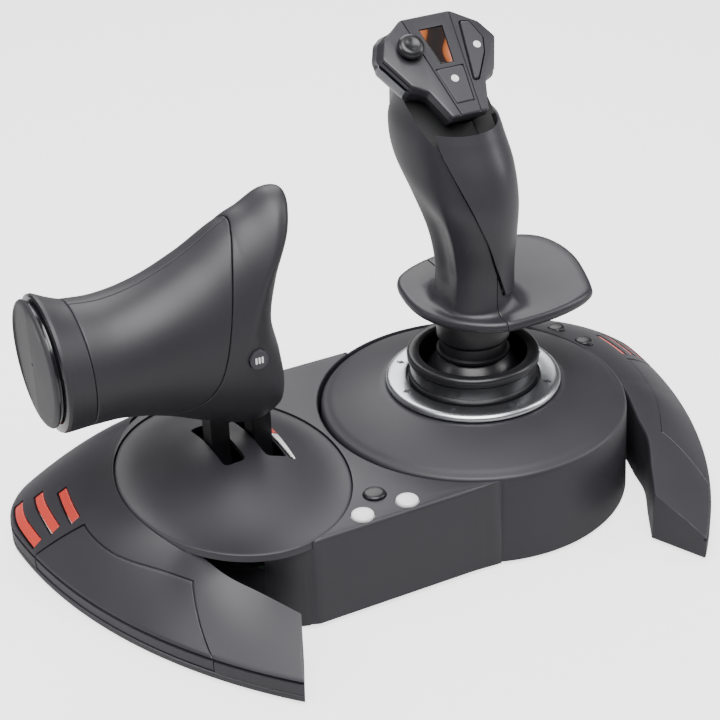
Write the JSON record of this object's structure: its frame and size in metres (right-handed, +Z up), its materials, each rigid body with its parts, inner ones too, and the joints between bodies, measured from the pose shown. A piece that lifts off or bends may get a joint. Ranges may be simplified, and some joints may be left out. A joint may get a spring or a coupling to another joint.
{
  "type": "flight joystick",
  "caption": "Flight stick with a twisting grip, a flared hand rest and a faceted button head, beside a swinging throttle lever, both on one winged desk base.",
  "frame": {"origin": "on the desk, on the mirror plane between the two side wings, level with the stick's axis", "axes": "+X to the user's right, +Y away from the user, +Z up"},
  "size_m": [0.3392, 0.2047, 0.224],
  "materials": {
    "shell_plastic": "fine matte texture, charcoal",
    "grip_plastic": "satin, slightly rubbery, charcoal",
    "black_plastic": "smooth satin black",
    "inner_plastic": "natural acetal, low friction",
    "trim_metal": "satin silver ring",
    "steel": "plain turned steel",
    "spring_steel": "bright wound wire",
    "red_plastic": "translucent red insert",
    "white_plastic": "glossy white",
    "window_plastic": "tinted red-orange window",
    "trigger_plastic": "smooth dark grey",
    "rubber": "black rubber",
    "circuit_board": "green solder mask",
    "sensor_blue": "blue moulded potentiometer body"
  },
  "bodies": {
    "base": {"stick_base_cover": "shell_plastic", "stick_base_floor": "black_plastic", "throttle_base_cover": "shell_plastic", "throttle_base_floor": "black_plastic", "right_wing_cover": "shell_plastic", "quadrant_cover": "shell_plastic", "left_wing_plate": "shell_plastic", "right_wing_plate": "shell_plastic", "left_vent_inserts": "red_plastic", "right_vent_inserts": "red_plastic", "trim_ring": "trim_metal", "stick_collar": "black_plastic", "rubber_feet": "rubber", "base_screws": "steel", "ballast_weights": "steel", "module_link": "steel", "main_board": "circuit_board", "button_board": "circuit_board", "throttle_scale": "white_plastic", "gimbal_frame": "black_plastic", "throttle_bracket": "black_plastic", "throttle_axle": "steel", "throttle_sensor": "sensor_blue"},
    "pitch_ring_body": {"pitch_ring": "inner_plastic"},
    "stick": {"stick_shaft": "steel", "centring_spring": "spring_steel", "spring_retainer": "black_plastic", "gimbal_boot": "black_plastic", "neck_sleeve": "black_plastic", "twist_sensor": "sensor_blue"},
    "grip": {"twist_bush": "inner_plastic", "left_grip_shell": "grip_plastic", "right_grip_shell": "grip_plastic", "palm_panel": "grip_plastic", "head_cover": "grip_plastic", "head_window": "window_plastic", "trigger_pin": "steel"},
    "trigger_body": {"trigger": "trigger_plastic"},
    "hat_pivot_body": {"hat_pivot": "inner_plastic"},
    "hat_body": {"hat_cap": "black_plastic"},
    "centre_head_button_body": {"centre_head_button": "grip_plastic"},
    "right_head_button_body": {"right_head_button": "grip_plastic"},
    "throttle_lever": {"throttle_yoke": "black_plastic", "palm_shell": "grip_plastic", "finger_shell": "grip_plastic", "thumb_housing": "grip_plastic", "end_cap": "grip_plastic", "rocker_bracket": "black_plastic", "rocker_pin": "steel"},
    "rocker_body": {"rocker_paddle": "grip_plastic"},
    "select_button_body": {"select_button": "white_plastic"},
    "mode_button_body": {"mode_button": "black_plastic"},
    "start_button_body": {"start_button": "white_plastic"},
    "wing_button_front_body": {"wing_button_front": "black_plastic"},
    "wing_button_rear_body": {"wing_button_rear": "black_plastic"},
    "thumb_button_upper_body": {"thumb_button_upper": "black_plastic"},
    "thumb_button_lower_body": {"thumb_button_lower": "black_plastic"},
    "oval_button_body": {"oval_button": "trigger_plastic"},
    "finger_button_upper_body": {"finger_button_upper": "black_plastic"},
    "finger_button_lower_body": {"finger_button_lower": "black_plastic"}
  },
  "joints": [
    {"name": "stick_pitch", "type": "hinge", "parent": "base", "child": "pitch_ring_body", "pos_m": [0.0445, 0, 0.052], "axis": [1, 0, 0], "range_deg": [-14, 14]},
    {"name": "stick_roll", "type": "hinge", "parent": "pitch_ring_body", "child": "stick", "pos_m": [0.0445, 0, 0.052], "axis": [0, 1, 0], "range_deg": [-14, 14], "deforming": ["centring_spring"]},
    {"name": "stick_twist", "type": "hinge", "parent": "stick", "child": "grip", "pos_m": [0.0445, 0, 0.12], "axis": [0, 0, 1], "range_deg": [-18, 18]},
    {"name": "trigger_pull", "type": "hinge", "parent": "grip", "child": "trigger_body", "pos_m": [0.04, 0.041, 0.197], "axis": [-1, 0, 0], "range_deg": [0, 9]},
    {"name": "hat_up_down", "type": "hinge", "parent": "grip", "child": "hat_pivot_body", "pos_m": [0.0245, 0.02475, 0.20878], "axis": [1, 0, 0], "range_deg": [-9, 9]},
    {"name": "hat_left_right", "type": "hinge", "parent": "hat_pivot_body", "child": "hat_body", "pos_m": [0.0245, 0.02475, 0.20878], "axis": [0, 0.788, 0.6157], "range_deg": [-9, 9]},
    {"name": "centre_head_button_press", "type": "slide", "parent": "grip", "child": "centre_head_button_body", "axis": [0, 0.6157, -0.788], "range_m": [0, 0.0008]},
    {"name": "right_head_button_press", "type": "slide", "parent": "grip", "child": "right_head_button_body", "axis": [0, 0.6157, -0.788], "range_m": [0, 0.0008]},
    {"name": "throttle_swing", "type": "hinge", "parent": "base", "child": "throttle_lever", "pos_m": [-0.0745, 0.004, 0.022], "axis": [1, 0, 0], "range_deg": [-21, 21]},
    {"name": "thumb_button_upper_press", "type": "slide", "parent": "throttle_lever", "child": "thumb_button_upper_body", "axis": [-1, 0, 0], "range_m": [0, 0.001]},
    {"name": "thumb_button_lower_press", "type": "slide", "parent": "throttle_lever", "child": "thumb_button_lower_body", "axis": [-1, 0, 0], "range_m": [0, 0.001]},
    {"name": "oval_button_press", "type": "slide", "parent": "throttle_lever", "child": "oval_button_body", "axis": [0, 1, 0], "range_m": [0, 0.0006]},
    {"name": "finger_button_upper_press", "type": "slide", "parent": "throttle_lever", "child": "finger_button_upper_body", "axis": [0, -1, 0], "range_m": [0, 0.001]},
    {"name": "finger_button_lower_press", "type": "slide", "parent": "throttle_lever", "child": "finger_button_lower_body", "axis": [0, -1, 0], "range_m": [0, 0.001]},
    {"name": "rocker_tilt", "type": "hinge", "parent": "throttle_lever", "child": "rocker_body", "pos_m": [-0.117, 0.034, 0.118], "axis": [0, 0, 1], "range_deg": [-8, 8]},
    {"name": "select_button_press", "type": "slide", "parent": "base", "child": "select_button_body", "axis": [0, 0, -1], "range_m": [0, 0.0008]},
    {"name": "mode_button_press", "type": "slide", "parent": "base", "child": "mode_button_body", "axis": [0, 0, -1], "range_m": [0, 0.0008]},
    {"name": "start_button_press", "type": "slide", "parent": "base", "child": "start_button_body", "axis": [0, 0, -1], "range_m": [0, 0.0008]},
    {"name": "wing_button_front_press", "type": "slide", "parent": "base", "child": "wing_button_front_body", "axis": [0, 0, -1], "range_m": [0, 0.0008]},
    {"name": "wing_button_rear_press", "type": "slide", "parent": "base", "child": "wing_button_rear_body", "axis": [0, 0, -1], "range_m": [0, 0.0008]}
  ]
}
